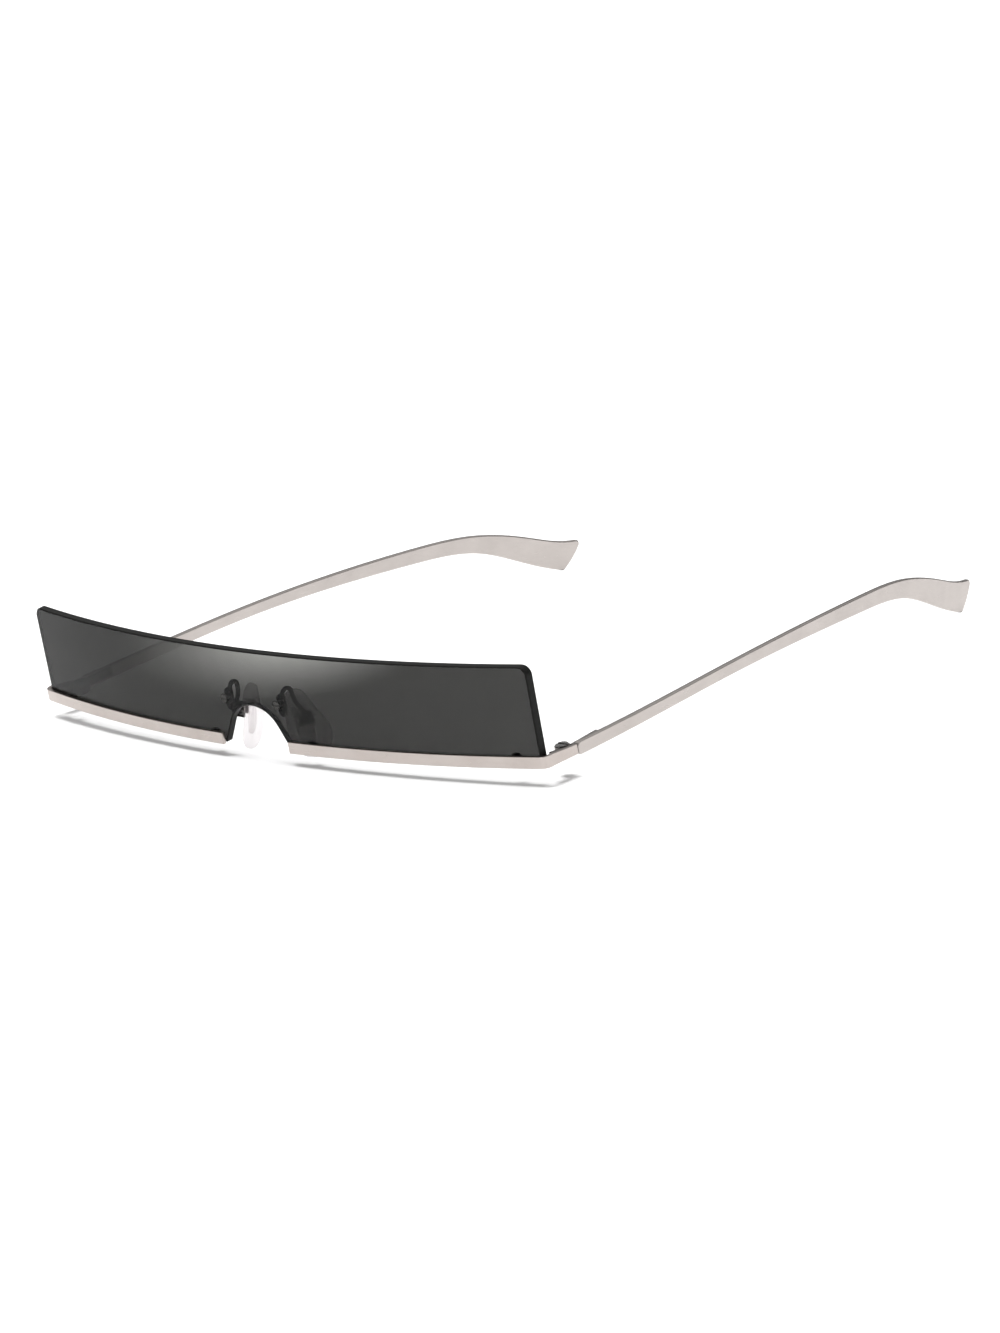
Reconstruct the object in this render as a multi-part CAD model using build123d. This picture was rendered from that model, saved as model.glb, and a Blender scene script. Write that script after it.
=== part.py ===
from build123d import *
import math
import os

# Narrow shield sunglasses: one smoke lens, cut over the nose by a low arch, with a slim metal
# bar screwed along its lower edge on each side. Each bar turns back round the end of the lens
# into an end piece, where a three-knuckle hinge carries a flat metal temple with a fishtail tip.
# Two clear nose pads rock on looped wire arms behind the lens.
#
# Everything is drawn in the wearer's frame first: X to the wearer's left, Y towards the face,
# Z up, the middle of the lens at the origin and the lower edge of the bars at Z 0. At the end
# the pair is tipped onto a table, where it rests on its nose pads and its temple tips.
# All lengths are in millimetres and all angles in degrees.

# Lens
LENS_RADIUS = 275.0
LENS_ARC_WIDTH = 139.6
LENS_THICKNESS = 2.0
LENS_TOP = 21.0
LENS_BOTTOM = 0.2
LENS_TOP_CORNER_RADIUS = 2.0
LENS_BOTTOM_CORNER_RADIUS = 0.8
LENS_EDGE_CHAMFER = 0.25

# Nose arch, cut up from the lower edge of the lens
ARCH_TOP = 9.1
ARCH_RADIUS = 7.4
ARCH_FLANK_ANGLE = 28.0

# Rim bars, with the end piece that each bar ends in
BAR_HEIGHT = 2.5
BAR_THICKNESS = 0.8
BAR_INNER_ARC = 9.35
BAR_BEND_RADIUS = 1.7
BAR_EDGE_RADIUS = 0.1
BAR_SHORT_EDGE = 4.0
END_PIECE_LEAN = 5.0
END_PIECE_HEIGHT = 2.1
END_PIECE_DROP = 0.8

# Screws that clamp the lens to the bars
POST_INNER_ARC = 13.7
POST_FROM_LENS_END = 6.4
POST_HEIGHT = 1.2
POST_DIAMETER = 1.5
POST_SHORTFALL = 0.2
RIM_SCREW_DIAMETER = 0.9
RIM_SCREW_LENGTH = 1.9
RIM_SCREW_HEAD_DIAMETER = 2.0
RIM_SCREW_HEAD_HEIGHT = 0.6
WASHER_DIAMETER = 2.4
WASHER_THICKNESS = 0.25

# Hinges
HINGE_OUTSET = 1.05
END_PIECE_LENGTH = 9.7
HINGE_AXIS_INSET = 2.5
HINGE_AXIS_AHEAD = 1.6
KNUCKLE_RADIUS = 1.6
HINGE_TOP = 1.4
HINGE_BOTTOM = -1.0
KNUCKLE_GAP = 0.06
LEAF_THICKNESS = 0.75
FRONT_LEAF_LENGTH = 5.0
TEMPLE_LEAF_LENGTH = 8.0
LEAF_HEIGHT = 1.7
LEAF_INSET = 0.25
HINGE_SCREW_DIAMETER = 1.2
HINGE_HEAD_DIAMETER = 2.7
HINGE_HEAD_HEIGHT = 0.35

# Temples
TEMPLE_LENGTH = 146.0
TEMPLE_DROP = 25.8
TEMPLE_THICKNESS = 1.2
TEMPLE_BUTT_HEIGHT = 2.85
TEMPLE_BUTT_TOP = 1.6
TEMPLE_STRAIGHT = 10.0
TEMPLE_CURL_RADIUS = 700.0
TEMPLE_TIP_BULGE = 0.5
TEMPLE_TIP_RADIUS = 0.9
TEMPLE_BUTT_RADIUS = 1.0
TEMPLE_SHORT_EDGE = 3.0
TEMPLE_EDGE_RADIUS = 0.3
# Shares of the length and of the drop, from the butt to the tip
TOP_EDGE_SHARES = [(0.34, 0.085), (0.685, 0.254), (0.80, 0.364), (0.90, 0.574), (0.955, 0.716),
                   (1, 0.783)]
BOTTOM_EDGE_SHARES = [(0.34, 0.188), (0.685, 0.390), (0.80, 0.532), (0.90, 0.838), (0.957, 1)]

# Pad arms: a base plate behind the lens, a looped wire and a forked box for the pad
ARM_ARC = 7.4
ARM_HEIGHT = 10.0
ARM_PLATE_WIDTH = 1.9
ARM_PLATE_LENGTH = 4.8
ARM_PLATE_THICKNESS = 0.6
ARM_PLATE_DROP = 0.6
ARM_WIRE_FOOT = 1.2
ARM_WIRE_DIAMETER = 0.9
ARM_WIRE_SINK = 0.2
ARM_LOOP_TOP = 12.4
ARM_LOOP_RADIUS = 1.2
ARM_LOOP_SHIFT = 0.3
ARM_SCREW_DIAMETER = 1.1
ARM_SCREW_HEAD_DIAMETER = 1.9
ARM_SCREW_HEAD_DEPTH = 0.5

# Nose pads and the axis that each one rocks on
PAD_AXIS = (9.0, 6.3, 5.2)
PAD_SPLAY = 22.0
PAD_LEAN = 14.0
PAD_DROP = 1.2
PAD_SETBACK = 1.25
PAD_THICKNESS = 2.0
PAD_TOP_RADIUS = 2.6
PAD_BOTTOM_RADIUS = 4.6
PAD_BOTTOM_SHIFT = 0.6
PAD_LENGTH = 15.0
PAD_FACE_FILLET = 0.9
PAD_BACK_FILLET = 0.4
CORE_LENGTH = 8.0
CORE_WIDTH = 3.4
CORE_THICKNESS = 0.5
CORE_DEPTH = 0.5
BOSS_WIDTH = 1.2
BOSS_RADIUS = 0.8
BOX_WIDTH = 2.6
BOX_HEIGHT = 2.6
BOX_WALL = 0.45
BOX_REACH = 0.75
PAD_SCREW_DIAMETER = 0.7
PAD_SCREW_HEAD_DIAMETER = 1.2
PAD_SCREW_HEAD_HEIGHT = 0.3

# Fits and clearances
RUNNING_CLEARANCE = 0.03
SCREW_CLEARANCE = 0.01
HOLE_CLEARANCE = 0.08
SEAM_GAP = 0.22
SWING_CLEARANCE = 0.12
SIDE_CLEARANCE = 0.06
SLOT_DEPTH_SHARE = 0.5
SLOT_WIDTH_SHARE = 0.2
CUT_OVERRUN = 5.0

# Search for the resting tilt
LARGEST_TILT = 20.0
TILT_STEPS = 16

LENS_HALF_TURN = LENS_ARC_WIDTH / LENS_RADIUS / 2
LENS_HALF_CHORD = LENS_RADIUS * math.sin(LENS_HALF_TURN)
LENS_REACH = LENS_RADIUS * (1 - math.cos(LENS_HALF_TURN))
POST_OUTER_ARC = LENS_ARC_WIDTH / 2 - POST_FROM_LENS_END
HINGE_HALF_WIDTH = LENS_HALF_CHORD + HINGE_OUTSET
HINGE_SEAM = LENS_REACH + END_PIECE_LENGTH
HINGE_AXIS = (HINGE_HALF_WIDTH - HINGE_AXIS_INSET, HINGE_SEAM - HINGE_AXIS_AHEAD)
KNUCKLE_HEIGHT = (HINGE_TOP - HINGE_BOTTOM) / 3


def on_lens(arc, height, depth=0):
    """A plane on the lens, depth behind its front face, whose Z axis points to the face."""
    turn = arc / LENS_RADIUS
    reach = LENS_RADIUS - depth
    spot = (reach * math.sin(turn), LENS_RADIUS - reach * math.cos(turn), height)
    return Plane(spot, x_dir=(math.cos(turn), math.sin(turn), 0), z_dir=(-math.sin(turn), math.cos(turn), 0))


def upright(outline, front, back):
    """An outline drawn in X and Z, made solid from one Y to another."""
    return Location((0, front, 0)) * extrude(Plane.XZ * outline, -(back - front))


def arch_outline():
    """The nose arch: a round top that runs into two straight, spreading flanks."""
    lean = math.radians(ARCH_FLANK_ANGLE)
    centre = ARCH_TOP - ARCH_RADIUS
    joint_x = ARCH_RADIUS * math.cos(lean)
    joint_z = centre + ARCH_RADIUS * math.sin(lean)
    foot_z = LENS_BOTTOM - CUT_OVERRUN
    foot_x = joint_x + (joint_z - foot_z) * math.tan(lean)
    top = ThreePointArc((-joint_x, joint_z), (0, ARCH_TOP), (joint_x, joint_z))
    flanks = Polyline((joint_x, joint_z), (foot_x, foot_z), (-foot_x, foot_z), (-joint_x, joint_z))
    return make_face([top, flanks])


def make_lens():
    """The shield: a cylindrical sheet trimmed to a rectangle, with its arch and screw holes."""
    outline = Pos(0, (LENS_TOP + LENS_BOTTOM) / 2) * Rectangle(2 * LENS_HALF_CHORD, LENS_TOP - LENS_BOTTOM)
    corners = outline.vertices().sort_by(Axis.Y)
    outline = fillet(corners[2:], LENS_TOP_CORNER_RADIUS)
    outline = fillet(outline.vertices().sort_by(Axis.Y)[:2], LENS_BOTTOM_CORNER_RADIUS)
    ring = Circle(LENS_RADIUS) - Circle(LENS_RADIUS - LENS_THICKNESS)
    sheet = Pos(0, LENS_RADIUS, LENS_BOTTOM) * extrude(ring, LENS_TOP - LENS_BOTTOM)
    trimmed = sheet & upright(outline - arch_outline(), -CUT_OVERRUN, LENS_REACH + CUT_OVERRUN)
    rims = trimmed.faces().filter_by(GeomType.CYLINDER).sort_by(SortBy.AREA)[-2:].edges()
    lens = chamfer(rims, LENS_EDGE_CHAMFER)
    post_hole = Cylinder(POST_DIAMETER / 2 + HOLE_CLEARANCE, CUT_OVERRUN)
    for arc in (POST_INNER_ARC, POST_OUTER_ARC):
        for side in (1, -1):
            lens -= on_lens(side * arc, POST_HEIGHT) * post_hole
    for side in (1, -1):
        lens -= on_lens(side * ARM_ARC, ARM_HEIGHT) * arm_screw_shape(HOLE_CLEARANCE)
    return lens


def bar_path():
    """The middle line of a bar: along the lens, round the end and back to the hinge seam."""
    lean = math.radians(END_PIECE_LEAN)
    along = Vector(-math.sin(lean), math.cos(lean))
    inward = Vector(-math.cos(lean), -math.sin(lean))
    middle_radius = LENS_RADIUS + BAR_THICKNESS / 2
    centre = Vector(0, LENS_RADIUS)
    end = Vector(HINGE_HALF_WIDTH, HINGE_SEAM) + inward * (BAR_THICKNESS / 2)
    reach = end + inward * BAR_BEND_RADIUS - centre
    inner_radius = middle_radius - BAR_BEND_RADIUS
    leg = reach.dot(along) + math.sqrt(reach.dot(along) ** 2 - reach.length ** 2 + inner_radius ** 2)
    bend = end + inward * BAR_BEND_RADIUS - along * leg
    turn = math.degrees(math.atan2(bend.X, LENS_RADIUS - bend.Y))
    start = math.degrees(BAR_INNER_ARC / LENS_RADIUS)
    front = CenterArc((0, LENS_RADIUS), middle_radius, start - 90, turn - start)
    corner = CenterArc((bend.X, bend.Y), BAR_BEND_RADIUS, turn - 90, 90 + END_PIECE_LEAN - turn)
    return Wire([front, corner, Line(corner @ 1, (end.X, end.Y))])


def bar_side_view(inset=0):
    """The height of a bar, seen from the side: level along the lens, then down to the hinge."""
    end_bottom = -END_PIECE_DROP + inset
    end_top = -END_PIECE_DROP + END_PIECE_HEIGHT - inset
    ahead = -CUT_OVERRUN
    turned = LENS_REACH + BAR_BEND_RADIUS
    points = [(ahead, inset), (turned, inset), (HINGE_SEAM, end_bottom), (HINGE_SEAM, end_top),
              (turned, BAR_HEIGHT - inset), (ahead, BAR_HEIGHT - inset)]
    return make_face(Polyline(*points, close=True))


def make_rim_bar():
    """The left bar, one strip from the arch to the hinge, with the two posts that hold the lens."""
    path = bar_path()
    tall = 2 * (BAR_HEIGHT + END_PIECE_DROP)
    section = Plane(path @ 0, x_dir=(0, 0, 1), z_dir=path % 0) * Rectangle(tall, BAR_THICKNESS)
    strip = sweep(section, path=path)
    half = extrude(Plane.YZ * bar_side_view(), HINGE_HALF_WIDTH + CUT_OVERRUN)
    bar = strip & half
    bar = fillet([edge for edge in bar.edges() if edge.length > BAR_SHORT_EDGE], BAR_EDGE_RADIUS)
    root = -BAR_THICKNESS / 2
    post = Pos(0, 0, root) * extrude(Circle(POST_DIAMETER / 2), LENS_THICKNESS - POST_SHORTFALL - root)
    bore = extrude(Circle(RIM_SCREW_DIAMETER / 2 + SCREW_CLEARANCE), LENS_THICKNESS)
    for arc in (POST_INNER_ARC, POST_OUTER_ARC):
        bar += on_lens(arc, POST_HEIGHT) * post
        bar -= on_lens(arc, POST_HEIGHT) * bore
    return bar


def make_washer(arc):
    """A clear washer between a screw head and the back of the lens."""
    ring = Circle(WASHER_DIAMETER / 2) - Circle(RIM_SCREW_DIAMETER / 2 + HOLE_CLEARANCE)
    return on_lens(arc, POST_HEIGHT, LENS_THICKNESS) * extrude(ring, WASHER_THICKNESS)


def slotted_head(diameter, height):
    """A pan head that stands on Z 0, with a screwdriver slot in its top."""
    head = extrude(Circle(diameter / 2), height)
    head = chamfer(head.edges().group_by(Axis.Z)[-1], height * SLOT_DEPTH_SHARE / 2)
    slot_width = diameter * SLOT_WIDTH_SHARE
    slot_depth = height * SLOT_DEPTH_SHARE
    return head - Pos(0, 0, height) * Box(diameter, slot_width, 2 * slot_depth)


def make_rim_screw(arc):
    """A screw from behind the lens into the post of a bar."""
    shank = extrude(Circle(RIM_SCREW_DIAMETER / 2), -RIM_SCREW_LENGTH)
    screw = slotted_head(RIM_SCREW_HEAD_DIAMETER, RIM_SCREW_HEAD_HEIGHT) + shank
    return on_lens(arc, POST_HEIGHT, LENS_THICKNESS + WASHER_THICKNESS) * screw


def barrel(radius, bottom, top):
    """A round piece on the hinge axis between two heights."""
    return Pos(HINGE_AXIS[0], HINGE_AXIS[1], bottom) * extrude(Circle(radius), top - bottom)


def hinge_leaf(front, back, inner, outer, bottom, top):
    """A flat leaf beside the hinge axis, given by its edges from the axis."""
    size = (outer - inner, back - front, top - bottom)
    middle = (HINGE_AXIS[0] + (inner + outer) / 2, HINGE_AXIS[1] + (front + back) / 2, (bottom + top) / 2)
    return Pos(*middle) * Box(*size)


def make_front_leaf():
    """The upper and lower knuckles, on a leaf behind the end piece."""
    wall = HINGE_AXIS_INSET - BAR_THICKNESS
    bottom = HINGE_BOTTOM + KNUCKLE_HEIGHT
    top = HINGE_TOP - KNUCKLE_HEIGHT
    inner = wall - LEAF_THICKNESS
    plate = hinge_leaf(-FRONT_LEAF_LENGTH, 0, inner, HINGE_AXIS_INSET, -BAR_HEIGHT, BAR_HEIGHT)
    plate &= extrude(Plane.YZ * bar_side_view(LEAF_INSET), HINGE_HALF_WIDTH)
    leaf = plate + barrel(KNUCKLE_RADIUS, HINGE_BOTTOM, HINGE_TOP)
    leaf += hinge_leaf(-KNUCKLE_RADIUS, 0, 0, wall, HINGE_BOTTOM, HINGE_TOP)
    leaf -= barrel(KNUCKLE_RADIUS + SWING_CLEARANCE, bottom, top)
    return leaf - barrel(HINGE_SCREW_DIAMETER / 2 + SCREW_CLEARANCE, HINGE_BOTTOM, HINGE_TOP)


def make_temple_leaf():
    """The middle knuckle, on a leaf along the inner face of the temple."""
    bottom = HINGE_BOTTOM + KNUCKLE_HEIGHT + KNUCKLE_GAP
    top = HINGE_TOP - KNUCKLE_HEIGHT - KNUCKLE_GAP
    seat = HINGE_AXIS_INSET - TEMPLE_THICKNESS
    clear = KNUCKLE_RADIUS + SWING_CLEARANCE
    middle = (HINGE_TOP + HINGE_BOTTOM) / 2
    tongue = hinge_leaf(0, clear + LEAF_THICKNESS, 0, seat, bottom, top)
    plate = hinge_leaf(clear, HINGE_AXIS_AHEAD + TEMPLE_LEAF_LENGTH, seat - LEAF_THICKNESS, seat,
                       middle - LEAF_HEIGHT / 2, middle + LEAF_HEIGHT / 2)
    leaf = barrel(KNUCKLE_RADIUS, bottom, top) + tongue + plate
    return leaf - barrel(HINGE_SCREW_DIAMETER / 2 + RUNNING_CLEARANCE, HINGE_BOTTOM, HINGE_TOP)


def make_hinge_screw():
    """The hinge pin, a slotted screw from above through the three knuckles."""
    shank = extrude(Circle(HINGE_SCREW_DIAMETER / 2), HINGE_BOTTOM - HINGE_TOP)
    screw = slotted_head(HINGE_HEAD_DIAMETER, HINGE_HEAD_HEIGHT) + shank
    return Pos(HINGE_AXIS[0], HINGE_AXIS[1], HINGE_TOP) * screw


def temple_side_view():
    """The blade from the side: a slim bar that bends down behind the ear to a fishtail."""
    butt = HINGE_SEAM + SEAM_GAP
    top = [(butt, TEMPLE_BUTT_TOP)]
    top += [(butt + along * TEMPLE_LENGTH, TEMPLE_BUTT_TOP - down * TEMPLE_DROP)
            for along, down in TOP_EDGE_SHARES]
    bottom = [(butt, TEMPLE_BUTT_TOP - TEMPLE_BUTT_HEIGHT)]
    bottom += [(butt + along * TEMPLE_LENGTH, TEMPLE_BUTT_TOP - down * TEMPLE_DROP)
               for along, down in BOTTOM_EDGE_SHARES]
    upper = Spline(*top)
    lower = Spline(*bottom)
    tip = SagittaArc(top[-1], bottom[-1], TEMPLE_TIP_BULGE)
    blade = make_face([upper, lower, tip, Line(top[0], bottom[0])])
    blade = fillet(blade.vertices().sort_by(Axis.X)[:2], TEMPLE_BUTT_RADIUS)
    return fillet(blade.vertices().sort_by(Axis.X)[-2:], TEMPLE_TIP_RADIUS)


def temple_plan():
    """The blade from above: a band that runs straight back and then curls in gently."""
    start = HINGE_SEAM
    bend = start + TEMPLE_STRAIGHT
    sweep_angle = math.degrees(TEMPLE_LENGTH / TEMPLE_CURL_RADIUS)
    centre = (HINGE_HALF_WIDTH - TEMPLE_CURL_RADIUS, bend)
    outer = CenterArc(centre, TEMPLE_CURL_RADIUS, 0, sweep_angle)
    inner = CenterArc(centre, TEMPLE_CURL_RADIUS - TEMPLE_THICKNESS, 0, sweep_angle)
    outer_start = (HINGE_HALF_WIDTH, start)
    inner_start = (HINGE_HALF_WIDTH - TEMPLE_THICKNESS, start)
    sides = [Line(outer_start, outer @ 0), Line(inner_start, inner @ 0)]
    ends = [Line(outer_start, inner_start), Line(outer @ 1, inner @ 1)]
    return make_face([outer, inner] + sides + ends)


def make_temple():
    """The left blade, flat metal all the way from the hinge to the tip."""
    side = extrude(Plane.YZ * temple_side_view(), HINGE_HALF_WIDTH + CUT_OVERRUN)
    band = Pos(0, 0, -TEMPLE_DROP) * extrude(temple_plan(), TEMPLE_DROP + CUT_OVERRUN)
    blade = side & band
    return fillet([edge for edge in blade.edges() if edge.length > TEMPLE_SHORT_EDGE], TEMPLE_EDGE_RADIUS)


def arm_screw_shape(clearance):
    """The flush screw of a pad arm, from the front of the lens, with an allowance all round."""
    head_radius = ARM_SCREW_HEAD_DIAMETER / 2 + clearance
    shank_radius = ARM_SCREW_DIAMETER / 2 + clearance
    length = LENS_THICKNESS + ARM_PLATE_THICKNESS
    from_front = (Align.CENTER, Align.CENTER, Align.MIN)
    head = Cone(head_radius, shank_radius, ARM_SCREW_HEAD_DEPTH, align=from_front)
    return head + extrude(Circle(shank_radius), length)


def make_arm_screw():
    """The flush screw as it is, slotted, and ending level with the back of the base plate."""
    screw = arm_screw_shape(0)
    slot_width = ARM_SCREW_HEAD_DIAMETER * SLOT_WIDTH_SHARE
    slot = Box(ARM_SCREW_HEAD_DIAMETER, slot_width, ARM_SCREW_HEAD_DEPTH * SLOT_DEPTH_SHARE)
    return on_lens(ARM_ARC, ARM_HEIGHT) * (screw - slot)


def pad_frame():
    """The frame of the left pad: its origin on the rocking axis, X away from the nose, Z up the pad."""
    return Pos(*PAD_AXIS) * Rot(0, -PAD_LEAN, 0) * Rot(0, 0, -PAD_SPLAY)


def arm_wire():
    """The looped wire: up behind the lens, over a tight loop and down to the box."""
    depth = LENS_THICKNESS + ARM_PLATE_THICKNESS + ARM_WIRE_DIAMETER / 2 - ARM_WIRE_SINK
    foot = on_lens(ARM_ARC, ARM_HEIGHT, depth).origin
    box_back = BOSS_RADIUS + SWING_CLEARANCE + BOX_WALL / 2
    end = (pad_frame() * Pos(box_back, 0, BOX_HEIGHT / 2 - BOX_WALL)).position
    start = Vector(foot.X, foot.Y, foot.Z - ARM_WIRE_FOOT)
    loop_foot = Vector(foot.X, foot.Y, ARM_LOOP_TOP - ARM_LOOP_RADIUS)
    loop_top = Vector(foot.X + ARM_LOOP_SHIFT / 2, foot.Y + ARM_LOOP_RADIUS, ARM_LOOP_TOP)
    loop_end = loop_foot + Vector(ARM_LOOP_SHIFT, 2 * ARM_LOOP_RADIUS, 0)
    loop = ThreePointArc(loop_foot, loop_top, loop_end)
    leg = Spline(loop_end, end, tangents=(loop % 1, end - loop_end))
    path = Wire([Line(start, loop_foot), loop, leg])
    section = Plane(path @ 0, z_dir=path % 0) * Circle(ARM_WIRE_DIAMETER / 2)
    return sweep(section, path=path)


def pad_box_slot():
    """The room in the box for the boss of the pad, drawn in the pad's frame."""
    back = BOSS_RADIUS + SWING_CLEARANCE
    width = BOSS_WIDTH + 2 * SIDE_CLEARANCE
    return Pos((back - BOX_REACH) / 2, 0, 0) * Box(back + BOX_REACH, width, BOX_HEIGHT)


def pad_box():
    """The forked box at the end of the wire, open towards the nose, drawn in the pad's frame."""
    back = BOSS_RADIUS + SWING_CLEARANCE + BOX_WALL
    block = Pos((back - BOX_REACH) / 2, 0, 0) * Box(back + BOX_REACH, BOX_WIDTH, BOX_HEIGHT)
    block = fillet(block.edges().filter_by(Axis.Y).group_by(Axis.X)[-1], BOX_WALL)
    return block - pad_box_slot()


def make_pad_arm():
    """Base plate, wire and box, brazed into one piece."""
    plate = extrude(SlotOverall(ARM_PLATE_LENGTH, ARM_PLATE_WIDTH, rotation=90), ARM_PLATE_THICKNESS)
    plate = on_lens(ARM_ARC, ARM_HEIGHT - ARM_PLATE_DROP, LENS_THICKNESS) * plate
    arm = plate + (arm_wire() - pad_frame() * pad_box_slot()) + pad_frame() * pad_box()
    screw_hole = Cylinder(PAD_SCREW_DIAMETER / 2 + SCREW_CLEARANCE, 2 * BOX_WIDTH)
    arm -= pad_frame() * Rot(90, 0, 0) * screw_hole
    return arm - on_lens(ARM_ARC, ARM_HEIGHT) * arm_screw_shape(SCREW_CLEARANCE)


def core_shape():
    """The stiff core of a pad, drawn in the pad's frame: a plate with a rounded boss."""
    front = -(PAD_SETBACK + CORE_DEPTH)
    plate_outline = Pos(0, -PAD_DROP) * SlotOverall(CORE_LENGTH, CORE_WIDTH, rotation=90)
    plate = extrude(Plane.YZ.offset(front - CORE_THICKNESS) * plate_outline, CORE_THICKNESS)
    neck = Pos(front / 2, 0) * Rectangle(-front, 2 * BOSS_RADIUS)
    boss_outline = neck + Circle(BOSS_RADIUS)
    boss = extrude(Plane.XZ.offset(-BOSS_WIDTH / 2) * boss_outline, BOSS_WIDTH)
    return plate + boss


def make_pad_core():
    """The core with the hole for its screw, which it rocks on."""
    hole = Cylinder(PAD_SCREW_DIAMETER / 2 + RUNNING_CLEARANCE, 2 * BOX_WIDTH)
    return pad_frame() * (core_shape() - Rot(90, 0, 0) * hole)


def make_nose_pad():
    """The soft pad: a drop-shaped cushion, rounder on the face that meets the nose."""
    span = PAD_LENGTH - PAD_TOP_RADIUS - PAD_BOTTOM_RADIUS
    upper = PAD_LENGTH / 2 - PAD_TOP_RADIUS - PAD_DROP
    lower_circle = Pos(PAD_BOTTOM_SHIFT, upper - span) * Circle(PAD_BOTTOM_RADIUS)
    circles = Pos(0, upper) * Circle(PAD_TOP_RADIUS) + lower_circle
    outline = make_hull(circles.edges())
    pad = extrude(Plane.YZ.offset(-PAD_SETBACK - PAD_THICKNESS) * outline, PAD_THICKNESS)
    pad = fillet(pad.edges().group_by(Axis.X)[0], PAD_FACE_FILLET)
    pad = fillet(pad.edges().group_by(Axis.X)[-1], PAD_BACK_FILLET)
    return pad_frame() * (pad - core_shape())


def make_pad_screw():
    """The screw that a pad rocks on, across the box."""
    shank = extrude(Circle(PAD_SCREW_DIAMETER / 2), -BOX_WIDTH)
    screw = slotted_head(PAD_SCREW_HEAD_DIAMETER, PAD_SCREW_HEAD_HEIGHT) + shank
    return pad_frame() * Pos(0, -BOX_WIDTH / 2, 0) * Rot(90, 0, 0) * screw


def left_pieces():
    """Every piece of the wearer's left side, by name."""
    bar = make_rim_bar()
    pieces = {
        "rim_bar": bar,
        "front_hinge_leaf": make_front_leaf() - bar,
        "hinge_screw": make_hinge_screw(),
        "temple": make_temple(),
        "temple_hinge_leaf": make_temple_leaf(),
        "pad_arm": make_pad_arm(),
        "pad_arm_screw": make_arm_screw(),
        "pad_screw": make_pad_screw(),
        "pad_core": make_pad_core(),
        "nose_pad": make_nose_pad(),
    }
    for place, arc in (("inner", POST_INNER_ARC), ("outer", POST_OUTER_ARC)):
        pieces[place + "_rim_screw"] = make_rim_screw(arc)
        pieces[place + "_rim_washer"] = make_washer(arc)
    return pieces


def lowest(solid, tilt):
    """How low a solid reaches once it is turned about X."""
    return (Rot(tilt, 0, 0) * solid).bounding_box().min.Z


def resting_tilt(front, back):
    """The turn about X at which two solids, one in front and one behind, stand level."""
    low, high = 0, LARGEST_TILT
    for _ in range(TILT_STEPS):
        middle = (low + high) / 2
        if lowest(front, middle) > lowest(back, middle):
            low = middle
        else:
            high = middle
    return (low + high) / 2


pieces = {"lens": make_lens()}
for name, solid in left_pieces().items():
    pieces[name + "_left"] = solid
    pieces[name + "_right"] = mirror(solid, about=Plane.YZ)

tilt = resting_tilt(pieces["nose_pad_left"], pieces["temple_left"])
box = Compound([Rot(tilt, 0, 0) * solid for solid in pieces.values()]).bounding_box()
rest = Pos(0, -(box.min.Y + box.max.Y) / 2, -box.min.Z) * Rot(tilt, 0, 0)

os.makedirs("parts", exist_ok=True)
for name, solid in pieces.items():
    export_step(rest * solid, "parts/" + name + ".step")

axis_foot = rest * Pos(HINGE_AXIS[0], HINGE_AXIS[1], (HINGE_TOP + HINGE_BOTTOM) / 2)
pad_axis = rest * pad_frame()
print("tilt", round(tilt, 3))
print("hinge point", [round(v, 4) for v in axis_foot.position])
print("pad point", [round(v, 4) for v in pad_axis.position])
for label, place in (("hinge", axis_foot), ("pad", pad_axis)):
    frame = Plane(place)
    print(label, "axes", [[round(v, 5) for v in d] for d in (frame.x_dir, frame.y_dir, frame.z_dir)])
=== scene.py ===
import math

import bmesh
import bpy
from mathutils import Matrix, Vector


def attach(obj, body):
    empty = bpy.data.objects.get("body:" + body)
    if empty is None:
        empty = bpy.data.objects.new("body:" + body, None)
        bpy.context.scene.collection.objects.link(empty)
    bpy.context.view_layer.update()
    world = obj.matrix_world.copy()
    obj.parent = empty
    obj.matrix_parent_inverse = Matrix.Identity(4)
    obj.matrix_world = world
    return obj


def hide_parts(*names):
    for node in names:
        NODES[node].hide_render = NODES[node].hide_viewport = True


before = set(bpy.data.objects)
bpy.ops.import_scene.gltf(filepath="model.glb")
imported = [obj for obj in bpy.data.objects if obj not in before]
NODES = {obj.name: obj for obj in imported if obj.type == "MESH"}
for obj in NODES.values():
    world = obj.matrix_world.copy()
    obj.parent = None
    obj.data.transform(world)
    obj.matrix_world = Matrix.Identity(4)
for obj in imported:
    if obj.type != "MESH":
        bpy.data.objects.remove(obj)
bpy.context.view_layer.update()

MM = 0.001

# The lens is a piece of a tube round this axis, which stands behind it
LENS_AXIS_POINT = Vector((0, 0.19136, 0.03943))
LENS_AXIS = Vector((0, -0.13334, 0.99107))


# Materials. Every length in them is in metres, and a noise's scale is in spots per metre.

# Nearly all of a noise lies between these two values
NOISE_LOW = 0.3
NOISE_HIGH = 0.7

# Painted shade in the seams, where another piece stands nearer than this:
# from the openness of a spot to the share of the metal's colour that is left there
PAINTED_SHADE_REACH = 0.0005
PAINTED_SHADE_STOPS = [(0.25, 0.10), (0.80, 1.0)]
# The plating rounds every edge off a little
EDGE_ROUNDING = 0.00012

# The lens's tint: how fast it swallows light, and the colour of what it lets by
TINT_DENSITY = 1540.0
TINT_COLOUR = (0.012, 0.012, 0.0, 1)
# How squarely a spot of the lens faces its axis, on a ground edge at most and on a face at least
EDGE_FACING = 0.80
FACE_FACING = 0.93


def new_material(name):
    """A material, its node tree to add to, its Principled node and its output."""
    material = bpy.data.materials.new(name)
    material.use_nodes = True
    tree = material.node_tree
    return material, tree, tree.nodes["Principled BSDF"], tree.nodes["Material Output"]


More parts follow.
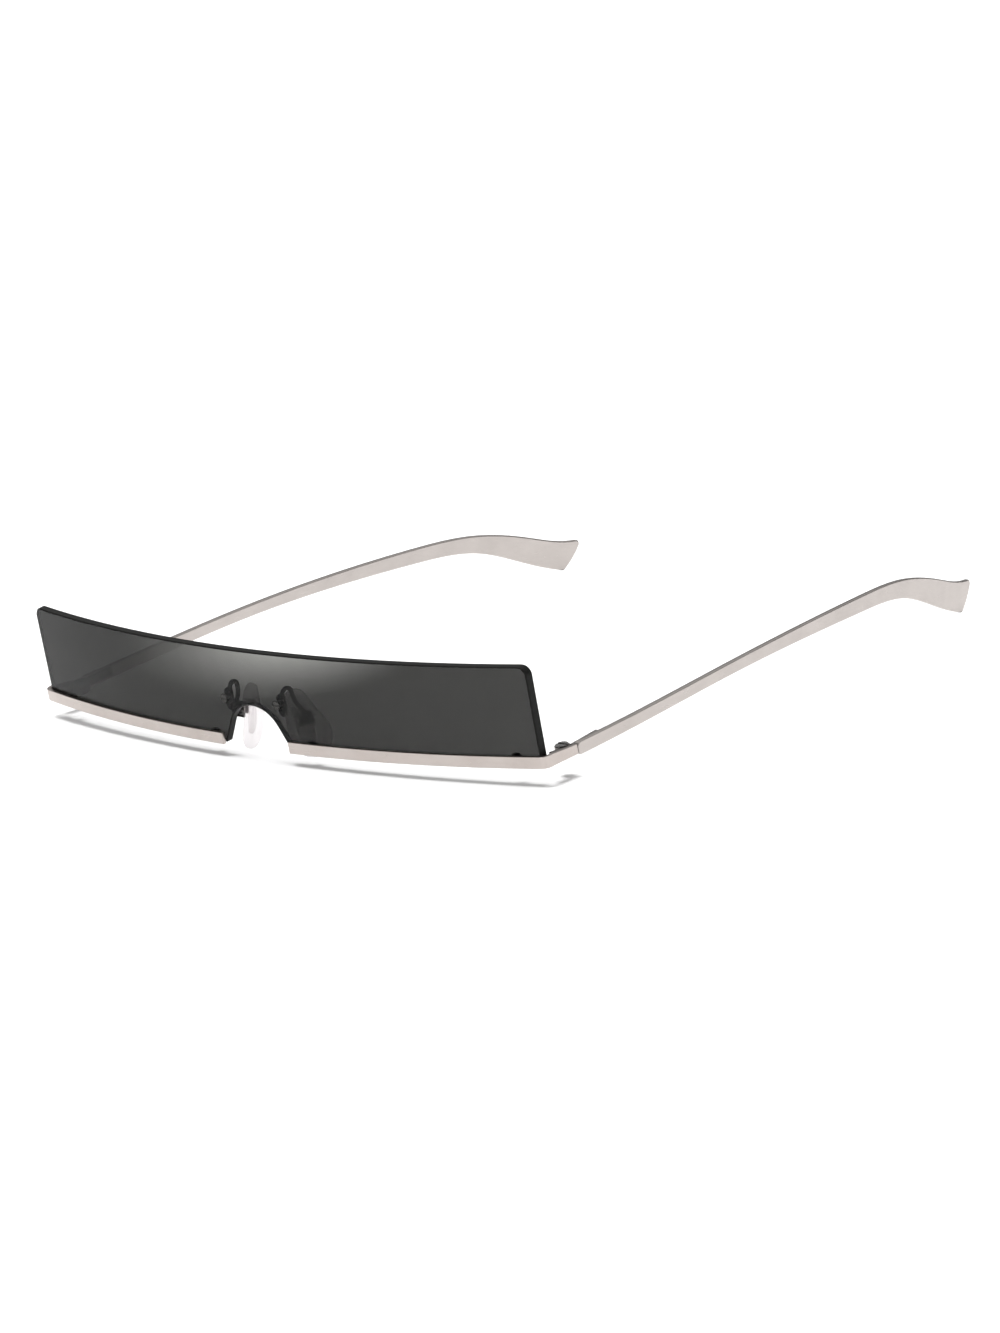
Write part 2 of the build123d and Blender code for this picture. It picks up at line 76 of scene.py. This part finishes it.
def add(tree, kind, **values):
    """A node of this kind. Names in values are its properties, or its inputs with _ for a space."""
    node = tree.nodes.new(kind)
    for name, value in values.items():
        if hasattr(node, name):
            setattr(node, name, value)
        else:
            node.inputs[name.replace("_", " ")].default_value = value
    return node


def scaled_coordinates(tree, scale):
    """The object's own coordinates, scaled per axis, so that a noise on them can have a grain."""
    place = add(tree, "ShaderNodeTexCoord")
    stretch = add(tree, "ShaderNodeMapping", Scale=scale)
    tree.links.new(place.outputs["Object"], stretch.inputs["Vector"])
    return stretch.outputs["Vector"]


def noise(tree, per_metre, stretch=(1, 1, 1), detail=3.0, roughness=0.5):
    """A noise. An axis that stretch makes smaller gets longer spots."""
    node = add(tree, "ShaderNodeTexNoise", Scale=per_metre, Detail=detail, Roughness=roughness)
    tree.links.new(scaled_coordinates(tree, stretch), node.inputs["Vector"])
    return node.outputs["Fac"]


def ramp(tree, fac, stops):
    """A colour ramp on fac. stops are (place, colour) with a number for a grey."""
    node = add(tree, "ShaderNodeValToRGB")
    band = node.color_ramp
    while len(band.elements) < len(stops):
        band.elements.new(0.5)
    for element, (place, colour) in zip(band.elements, stops):
        element.position = place
        rgb = (colour,) * 3 if isinstance(colour, (int, float)) else colour
        element.color = (*rgb, 1)
    tree.links.new(fac, node.inputs["Fac"])
    return node.outputs["Color"]


def mottled(tree, fac, low, high):
    """A colour that goes with a noise from low to high."""
    return ramp(tree, fac, [(NOISE_LOW, low), (NOISE_HIGH, high)])


def spread(tree, fac, low, high):
    """A number that goes with a noise from low to high."""
    node = add(
        tree, "ShaderNodeMapRange",
        From_Min=NOISE_LOW, From_Max=NOISE_HIGH, To_Min=low, To_Max=high,
    )
    tree.links.new(fac, node.inputs["Value"])
    return node.outputs["Result"]


def bump(tree, shader, height, strength, distance, under=None):
    """Puts a bump on a shader, over another one where under gives its normal."""
    node = add(tree, "ShaderNodeBump", Strength=strength, Distance=distance)
    tree.links.new(height, node.inputs["Height"])
    if under is not None:
        tree.links.new(under, node.inputs["Normal"])
    tree.links.new(node.outputs["Normal"], shader.inputs["Normal"])
    return node.outputs["Normal"]


def mixed(tree, share, first, second):
    """One shader or the other, as share says from 0 to 1."""
    node = add(tree, "ShaderNodeMixShader")
    tree.links.new(share, node.inputs["Fac"])
    tree.links.new(first, node.inputs[1])
    tree.links.new(second, node.inputs[2])
    return node.outputs["Shader"]


def plated_metal(name, dark, light, roughness, grain=(1, 1, 1)):
    """Plated metal: faint broad clouds in its colour, painted shade darkening it in the seams, and
    a satin grain drawn out along one axis."""
    material, tree, shader, _ = new_material(name)
    shader.inputs["Metallic"].default_value = 1.0
    clouds = noise(tree, per_metre=160.0, detail=4.0)
    # Painted shade: the colour is darkened where other pieces stand close and would shade it
    painted_shade_occlusion = add(tree, "ShaderNodeAmbientOcclusion", samples=8, Distance=PAINTED_SHADE_REACH)
    painted_shade = add(tree, "ShaderNodeMix", data_type="RGBA", blend_type="MULTIPLY", Factor=1.0)
    tree.links.new(mottled(tree, clouds, dark, light), painted_shade.inputs["A"])
    tree.links.new(ramp(tree, painted_shade_occlusion.outputs["AO"], PAINTED_SHADE_STOPS), painted_shade.inputs["B"])
    tree.links.new(painted_shade.outputs["Result"], shader.inputs["Base Color"])
    fine = noise(tree, per_metre=2600.0, stretch=grain, roughness=0.6)
    tree.links.new(spread(tree, fine, *roughness), shader.inputs["Roughness"])
    rounded = add(tree, "ShaderNodeBevel", samples=6, Radius=EDGE_ROUNDING)
    broad = noise(tree, per_metre=300.0, detail=2.0)
    waves = bump(
        tree, shader, broad, strength=0.03, distance=0.00004, under=rounded.outputs["Normal"]
    )
    bump(tree, shader, fine, strength=0.03, distance=0.00001, under=waves)
    return material


def vector_step(tree, operation, first, second):
    """One vector step. Each of the two is a socket or a fixed vector."""
    node = add(tree, "ShaderNodeVectorMath", operation=operation)
    for place, value in enumerate((first, second)):
        if isinstance(value, Vector):
            node.inputs[place].default_value = value
        else:
            tree.links.new(value, node.inputs[place])
    return node.outputs["Value" if operation == "DOT_PRODUCT" else "Vector"]


def off_the_faces(tree):
    """1 on the ground edges of the lens and 0 on its two faces, which lie round its axis."""
    place = add(tree, "ShaderNodeTexCoord")
    offset = vector_step(tree, "SUBTRACT", place.outputs["Object"], LENS_AXIS_POINT)
    along = vector_step(tree, "DOT_PRODUCT", offset, LENS_AXIS)
    rise = add(tree, "ShaderNodeVectorMath", operation="SCALE")
    rise.inputs[0].default_value = LENS_AXIS
    tree.links.new(along, rise.inputs["Scale"])
    across = vector_step(tree, "SUBTRACT", offset, rise.outputs["Vector"])
    out = add(tree, "ShaderNodeVectorMath", operation="NORMALIZE")
    tree.links.new(across, out.inputs[0])
    facing = vector_step(tree, "DOT_PRODUCT", out.outputs["Vector"], place.outputs["Normal"])
    size = add(tree, "ShaderNodeMath", operation="ABSOLUTE")
    tree.links.new(facing, size.inputs[0])
    edge = add(
        tree, "ShaderNodeMapRange",
        interpolation_type="SMOOTHSTEP", From_Min=FACE_FACING, From_Max=EDGE_FACING,
    )
    tree.links.new(size.outputs["Value"], edge.inputs["Value"])
    return edge.outputs["Result"]


def smoke_lens():
    """Tinted lens: the tint lies in its depth, its faces are polished and its edges are ground."""
    material, tree, shader, output = new_material("smoke_lens")
    shader.inputs["Base Color"].default_value = (1, 1, 1, 1)
    shader.inputs["Transmission Weight"].default_value = 1.0
    # Less than real glass has, so that its reflections are as faint as in the photo
    shader.inputs["IOR"].default_value = 1.22
    wiping = noise(tree, per_metre=260.0, stretch=(1.0, 1.0, 2.4), detail=5.0, roughness=0.65)
    tree.links.new(spread(tree, wiping, 0.004, 0.03), shader.inputs["Roughness"])
    bump(tree, shader, noise(tree, per_metre=55.0, detail=1.0), strength=0.02, distance=0.0001)

    ground = add(tree, "ShaderNodeBsdfPrincipled")
    ground.inputs["Specular IOR Level"].default_value = 0.12
    grit = noise(tree, per_metre=5200.0, stretch=(1.0, 1.0, 0.35))
    dust = mottled(tree, grit, (0.003, 0.003, 0.003), (0.009, 0.009, 0.008))
    tree.links.new(dust, ground.inputs["Base Color"])
    tree.links.new(spread(tree, grit, 0.35, 0.55), ground.inputs["Roughness"])
    bump(tree, ground, grit, strength=0.2, distance=0.00001)
    glass = mixed(tree, off_the_faces(tree), shader.outputs["BSDF"], ground.outputs["BSDF"])

    tint = add(tree, "ShaderNodeVolumeAbsorption", Color=TINT_COLOUR, Density=TINT_DENSITY)
    tree.links.new(tint.outputs["Volume"], output.inputs["Volume"])

    # Light from the lamps passes straight through, so that what is behind the lens is lit
    path = add(tree, "ShaderNodeLightPath")
    clear = add(tree, "ShaderNodeBsdfTransparent")
    seen = mixed(tree, path.outputs["Is Shadow Ray"], glass, clear.outputs["BSDF"])
    tree.links.new(seen, output.inputs["Surface"])
    return material


def clear_plastic(name, passed, body, roughness, haze):
    """Clear plastic or silicone: light goes straight through, tinted passed, and its haze, coloured
    body, grows from the first share to the second where the surface turns away from the eye."""
    material, tree, shader, output = new_material(name)
    cloud = noise(tree, per_metre=420.0)
    dull_body, dull_passed = tuple(0.9 * c for c in body), tuple(0.97 * c for c in passed)
    tree.links.new(mottled(tree, cloud, dull_body, body), shader.inputs["Base Color"])
    shader.inputs["IOR"].default_value = 1.42
    skin = noise(tree, per_metre=1500.0)
    tree.links.new(spread(tree, skin, *roughness), shader.inputs["Roughness"])
    bump(tree, shader, skin, strength=0.04, distance=0.00001)
    clear = add(tree, "ShaderNodeBsdfTransparent")
    tree.links.new(mottled(tree, cloud, dull_passed, passed), clear.inputs["Color"])
    edge = add(tree, "ShaderNodeLayerWeight", Blend=0.2)
    share = add(tree, "ShaderNodeMapRange", To_Min=haze[0], To_Max=haze[1])
    tree.links.new(edge.outputs["Facing"], share.inputs["Value"])
    both = mixed(tree, share.outputs["Result"], clear.outputs["BSDF"], shader.outputs["BSDF"])
    tree.links.new(both, output.inputs["Surface"])
    return material


FRAME_METAL = plated_metal(
    "champagne_satin",
    dark=(0.435, 0.400, 0.380), light=(0.475, 0.438, 0.416),
    roughness=(0.27, 0.35), grain=(1.0, 0.06, 1.0),
)
BAR_METAL = plated_metal(
    "champagne_satin_bar",
    dark=(0.445, 0.396, 0.370), light=(0.490, 0.444, 0.418),
    roughness=(0.27, 0.35), grain=(0.06, 1.0, 1.0),
)
# Champagne at about half the frame's brightness: painted shade, so that the hinge's gap and knuckle
# read dark
SHADED_HINGE_METAL = plated_metal(
    "champagne_hinge_painted_shade",
    dark=(0.22, 0.202, 0.191), light=(0.28, 0.258, 0.245), roughness=(0.24, 0.38),
)
# Silver darkened far below its own brightness: painted shade, for the pad arms that lie in the
# shade behind the lens
SHADED_ARM_METAL = plated_metal(
    "pad_arm_silver_painted_shade",
    dark=(0.150, 0.140, 0.133), light=(0.200, 0.188, 0.180), roughness=(0.18, 0.30),
)
ARM_SCREW_METAL = plated_metal(
    "arm_screw_gunmetal",
    dark=(0.036, 0.035, 0.034), light=(0.058, 0.057, 0.055), roughness=(0.20, 0.34),
)
RIM_SCREW_METAL = plated_metal(
    "rim_screw_black",
    dark=(0.012, 0.012, 0.011), light=(0.026, 0.025, 0.024), roughness=(0.25, 0.40),
)
SCREW_METAL = plated_metal(
    "screw_steel",
    dark=(0.24, 0.235, 0.23), light=(0.32, 0.315, 0.31), roughness=(0.20, 0.36),
)
LENS = smoke_lens()
SILICONE = clear_plastic(
    "clear_silicone",
    passed=(0.885, 0.872, 0.876), body=(0.62, 0.58, 0.59),
    roughness=(0.18, 0.30), haze=(0.005, 0.32),
)
CORE_PLASTIC = clear_plastic(
    "core_plastic",
    passed=(0.992, 0.984, 0.984), body=(0.42, 0.39, 0.39),
    roughness=(0.15, 0.28), haze=(0.0, 0.42),
)
WASHER_PLASTIC = clear_plastic(
    "washer_plastic",
    passed=(0.88, 0.88, 0.87), body=(0.50, 0.50, 0.49),
    roughness=(0.10, 0.25), haze=(0.15, 0.60),
)

DRESS = {
    "rim_bar": BAR_METAL,
    "temple": FRAME_METAL,
    "front_hinge_leaf": SHADED_HINGE_METAL,
    "temple_hinge_leaf": SHADED_HINGE_METAL,
    "hinge_screw": SCREW_METAL,
    "inner_rim_screw": RIM_SCREW_METAL,
    "outer_rim_screw": RIM_SCREW_METAL,
    "inner_rim_washer": WASHER_PLASTIC,
    "outer_rim_washer": WASHER_PLASTIC,
    "pad_arm": SHADED_ARM_METAL,
    "pad_arm_screw": ARM_SCREW_METAL,
    "pad_screw": SCREW_METAL,
    "pad_core": CORE_PLASTIC,
}


def dress(node, material):
    """Puts a material on a CAD node through its object's own slots."""
    for slot in node.material_slots:
        slot.link = "OBJECT"
        slot.material = material


for name, node in NODES.items():
    kind = name.removesuffix("_left").removesuffix("_right")
    if kind in DRESS:
        dress(node, DRESS[kind])


def link(name, data, material=None):
    """A new object in the scene with this data, and this material where there is one."""
    made = bpy.data.objects.new(name, data)
    bpy.context.collection.objects.link(made)
    if material is not None:
        data.materials.append(material)
    return made


# The lens again, a hair thinner at the front: the flat facets of two curved faces that touch
# would cross where the rim bars lie on it

LENS_BACK_RADIUS = 0.273
LENS_THINNING = 0.03


def build_shield():
    """The lens's own mesh, with each point brought nearer to its back face by the thinning."""
    mesh = NODES["lens"].data.copy()
    mesh.name = "smoke_shield_lens"
    for vertex in mesh.vertices:
        offset = vertex.co - LENS_AXIS_POINT
        across = offset - LENS_AXIS * offset.dot(LENS_AXIS)
        depth = across.length - LENS_BACK_RADIUS
        vertex.co -= across.normalized() * depth * LENS_THINNING
    mesh.materials[0] = LENS
    shield = link("smoke_shield_lens", mesh)
    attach(shield, "front")
    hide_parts("lens")
    return shield


SHIELD = build_shield()


# Nose pads: soft drop-shaped mouldings over the cores, drawn in the pad's own frame, in mm.
# Its X points away from the nose, Z up along the pad.

PAD_POINT = Vector((9.0, -75.6289, 8.7643))
PAD_AXES = (
    Vector((0.89964, -0.40117, 0.17235)),
    Vector((0.36348, 0.90682, 0.21345)),
    Vector((-0.24192, -0.12938, 0.96163)),
)
# The pad's faces, on X
PAD_BACK = -1.25
PAD_FACE = -3.25
# The circles at the ends of its outline: (y, z, radius)
TOP_CIRCLE = (0.0, 3.7, 2.6)
BOTTOM_CIRCLE = (0.6, -4.1, 4.6)
ARC_STEPS = 36
SIDE_STEPS = 10
# The roundings of its two edges, with their steps, and how far its face bulges
BACK_ROUND, BACK_STEPS = 0.45, 6
FACE_ROUND, FACE_STEPS = 0.95, 8
CROWN = 0.22
# Rings inside the roundings. On the back: (dip, inset). On the face: inset, with the middle's last.
BACK_RINGS = ((0.10, 2.35), (0.06, 1.7), (0, 1.0), (0, 0.7))
FACE_INSETS = (1.2, 1.5, 1.85, 2.2, 2.5)
MIDDLE_INSET = 2.55


def drop_outline(inset):
    """The pad's outline moved in by inset: two circles and their two tangents. It always has the
    same number of points."""
    (ty, tz, tr), (by, bz, br) = TOP_CIRCLE, BOTTOM_CIRCLE
    along = math.atan2(tz - bz, ty - by)
    reach = math.hypot(tz - bz, ty - by)
    half = math.acos((br - tr) / reach)
    top, bottom = (ty, tz, tr - inset), (by, bz, br - inset)

    def on(circle, angle):
        y, z, r = circle
        return (y + r * math.cos(angle), z + r * math.sin(angle))

    def arc(circle, start, turn):
        return [on(circle, start + turn * i / ARC_STEPS) for i in range(ARC_STEPS + 1)]

    def side(start, end):
        return [
            tuple(a + (b - a) * i / SIDE_STEPS for a, b in zip(start, end))
            for i in range(1, SIDE_STEPS)
        ]

    return (
        arc(top, along - half, 2 * half)
        + side(on(top, along + half), on(bottom, along + half))
        + arc(bottom, along + half, 2 * math.pi - 2 * half)
        + side(on(bottom, along - half), on(top, along - half))
    )


def pad_rings():
    """(x, inset) of each ring, from the middle of the back, round the edge, to the middle of the
    crowned face."""
    rings = [(PAD_BACK - dip, inset) for dip, inset in BACK_RINGS]
    for i in range(BACK_STEPS + 1):
        turn = math.pi / 2 * i / BACK_STEPS
        rings.append(
            (PAD_BACK - BACK_ROUND * (1 - math.cos(turn)), BACK_ROUND * (1 - math.sin(turn)))
        )
    edge = PAD_FACE + CROWN
    for i in range(FACE_STEPS + 1):
        turn = math.pi / 2 * i / FACE_STEPS
        rings.append(
            (edge + FACE_ROUND * (1 - math.sin(turn)), FACE_ROUND * (1 - math.cos(turn)))
        )
    for inset in FACE_INSETS:
        share = (inset - FACE_ROUND) / (MIDDLE_INSET - FACE_ROUND)
        rings.append((edge - CROWN * math.sin(share * math.pi / 2), inset))
    return rings


def build_pad(name, side):
    """One pad's moulding: side is 1 for the left one and -1 for the right one."""
    mesh = bpy.data.meshes.new(name)
    bm = bmesh.new()
    loops = []
    for x, inset in pad_rings():
        loop = []
        for y, z in drop_outline(inset):
            point = PAD_POINT + PAD_AXES[0] * x + PAD_AXES[1] * y + PAD_AXES[2] * z
            loop.append(bm.verts.new((side * point.x * MM, point.y * MM, point.z * MM)))
        loops.append(loop)
    count = len(loops[0])
    for low, high in zip(loops, loops[1:]):
        for i in range(count):
            j = (i + 1) % count
            bm.faces.new((low[i], low[j], high[j], high[i]))
    bm.faces.new(loops[0])
    bm.faces.new(list(reversed(loops[-1])))
    bmesh.ops.recalc_face_normals(bm, faces=bm.faces)
    bm.to_mesh(mesh)
    bm.free()
    mesh.shade_smooth()
    return link(name, mesh, SILICONE)


PADS = []
for side, word in ((1, "left"), (-1, "right")):
    pad = build_pad(f"nose_pad_moulding_{word}", side)
    PADS.append(pad)
    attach(pad, f"{word}_pad")
    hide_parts(f"nose_pad_{word}")


# Floor and light

# The world's brightness by the height of the direction, on a unit sphere: a dim room up to 17
# degrees over the table, and a bright ceiling from 38 degrees. The camera sees plain white instead.
ROOM_AND_CEILING = [(0.30, 0.22), (0.62, 0.75)]

# The key is far off, over the lens and near to its upright lines, so that the shadow is a thin
# line. It leans to the side of the photo's far temple.
KEY_ANGLE = math.radians(26)
KEY_STRENGTH = 3.0
KEY_LEAN = Vector((-0.09, 0, 0))
# Only the lens, the bars and the hinges throw a shadow in it, as in the photo
SHADOWLESS = ("temple_", "pad_", "nose_pad")

# A soft card behind the lens, seen only through it, is the glow at the top of the lens
CARD_PLACE = (-0.0343, -0.0377, 0.0137)
CARD_AIM = (0.6252, -0.7534, 0.0137)
CARD_SIZE = (0.0716, 0.031)
CARD_POWER = 0.056
CARD_SPREAD = math.radians(110)
CARD_FALLOFF = 1.6


def build_floor():
    """A plain pale floor, with a faint mottle."""
    mesh = bpy.data.meshes.new("floor")
    bm = bmesh.new()
    bmesh.ops.create_grid(bm, x_segments=24, y_segments=24, size=4.0)
    bm.to_mesh(mesh)
    bm.free()
    material, tree, shader, _ = new_material("pale_floor")
    grain = noise(tree, per_metre=90.0, detail=4.0)
    tree.links.new(mottled(tree, grain, 0.93, 0.95), shader.inputs["Base Color"])
    shader.inputs["Roughness"].default_value = 0.9
    shader.inputs["Specular IOR Level"].default_value = 0.0
    floor = link("floor", mesh, material)
    return floor


def build_world():
    """A dim room with a bright ceiling for light and reflections, and white for the camera."""
    world = bpy.data.worlds.new("white_tent")
    bpy.context.scene.world = world
    world.use_nodes = True
    tree = world.node_tree
    sky = tree.nodes["Background"]
    sky.inputs["Strength"].default_value = 1.0
    aim = add(tree, "ShaderNodeTexCoord")
    split = add(tree, "ShaderNodeSeparateXYZ")
    tree.links.new(aim.outputs["Generated"], split.inputs["Vector"])
    plain = add(tree, "ShaderNodeMix", data_type="RGBA")
    seen = add(tree, "ShaderNodeLightPath")
    tree.links.new(seen.outputs["Is Camera Ray"], plain.inputs["Factor"])
    tree.links.new(ramp(tree, split.outputs["Z"], ROOM_AND_CEILING), plain.inputs["A"])
    plain.inputs["B"].default_value = (1, 1, 1, 1)
    tree.links.new(plain.outputs["Result"], sky.inputs["Color"])


def only(objects, name):
    """A collection of these objects, for what a light reaches or what blocks it."""
    group = bpy.data.collections.new(name)
    for one in objects:
        group.objects.link(one)
    return group


def build_key(floor):
    """The key. It is kept off the metal, whose upper edges would burn out in it: the ceiling
    lights them."""
    data = bpy.data.lights.new("overhead_key", "SUN")
    data.energy = KEY_STRENGTH
    data.angle = KEY_ANGLE
    key = link("overhead_key", data)
    key.rotation_euler = (LENS_AXIS + KEY_LEAN).to_track_quat("Z", "Y").to_euler()
    blockers = [piece for name, piece in NODES.items() if not name.startswith(SHADOWLESS)]
    cores = [piece for name, piece in NODES.items() if name.startswith("pad_core")]
    linking = key.light_linking
    linking.blocker_collection = only(blockers + [SHIELD], "front_pieces")
    linking.receiver_collection = only(cores + PADS + [SHIELD, floor], "lit_by_key")


def build_card():
    """The glow's card, brightest in its middle and dark at its edges."""
    data = bpy.data.lights.new("glow_card", "AREA")
    data.shape = "RECTANGLE"
    data.size, data.size_y = CARD_SIZE
    data.energy = CARD_POWER
    data.spread = CARD_SPREAD
    card = link("glow_card", data)
    card.location = CARD_PLACE
    turned = (Vector(CARD_AIM) - Vector(CARD_PLACE)).to_track_quat("-Z", "Y")
    card.rotation_euler = turned.to_euler()
    card.visible_camera = card.visible_diffuse = False
    card.visible_glossy = card.visible_volume_scatter = False

    data.use_nodes = True
    tree = data.node_tree
    where = add(tree, "ShaderNodeNewGeometry")
    centred = add(tree, "ShaderNodeMapping", Location=(-1, -1, 0), Scale=(2, 2, 0))
    tree.links.new(where.outputs["Parametric"], centred.inputs["Vector"])
    fade = add(tree, "ShaderNodeTexGradient", gradient_type="SPHERICAL")
    tree.links.new(centred.outputs["Vector"], fade.inputs["Vector"])
    softer = add(tree, "ShaderNodeMath", operation="POWER")
    softer.inputs[1].default_value = CARD_FALLOFF
    tree.links.new(fade.outputs["Fac"], softer.inputs[0])
    tree.links.new(softer.outputs["Value"], tree.nodes["Emission"].inputs["Strength"])


# The camera that was fitted to the photo: its place and turn in the CAD frame, and its lens in mm

CAMERA_MATRIX = Matrix((
    (0.7460152, -0.0920634, 0.6595344, 0.738202),
    (0.6606763, 0.2264702, -0.7156941, -0.808264),
    (-0.0834756, 0.9696574, 0.2297743, 0.259691),
    (0, 0, 0, 1),
))
CAMERA_LENS = 142.182
CAMERA_SENSOR = 36.0


def build_camera():
    data = bpy.data.cameras.new("camera")
    camera = link("camera", data)
    camera.matrix_world = CAMERA_MATRIX
    data.lens = CAMERA_LENS
    data.sensor_width = CAMERA_SENSOR
    data.sensor_fit = "AUTO"
    data.clip_start = 0.01
    data.clip_end = 30.0
    bpy.context.scene.camera = camera


floor = build_floor()
build_world()
build_key(floor)
build_card()
build_camera()
bpy.context.scene.view_settings.view_transform = "Standard"
